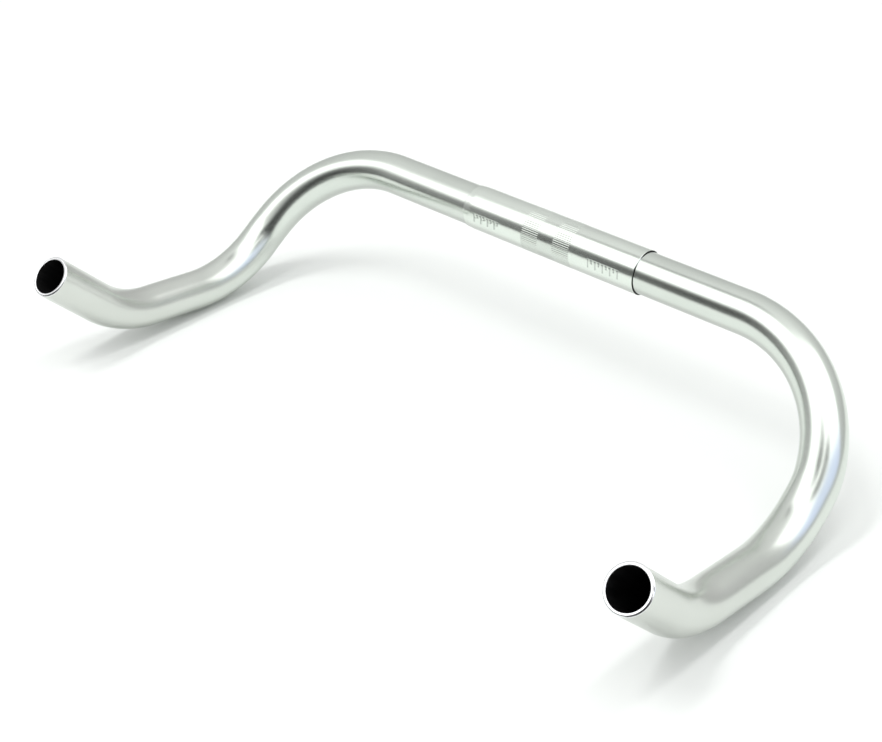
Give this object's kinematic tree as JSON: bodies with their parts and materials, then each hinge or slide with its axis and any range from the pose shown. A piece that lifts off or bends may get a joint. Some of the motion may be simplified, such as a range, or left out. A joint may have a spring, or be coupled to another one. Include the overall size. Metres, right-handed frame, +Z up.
{
  "type": "bicycle handlebar",
  "caption": "Pursuit handlebar for a bicycle: a bent aluminium tube with a straight clamp section, dropped arms, upturned open horns and a grooved clamp sleeve.",
  "frame": {"origin": "on the tube's axis, at the middle of the clamp section", "axes": "+X along the clamp section, -Y the way the two horns point, +Z up"},
  "size_m": [0.4238, 0.2202, 0.0918],
  "materials": {
    "bar_tube": "satin silver anodised, with bright cut ends",
    "clamp_sleeve": "satin silver anodised, with grooved grip bands"
  },
  "bodies": {
    "root": {"bar_tube": "bar_tube", "clamp_sleeve": "clamp_sleeve"}
  },
  "joints": []
}
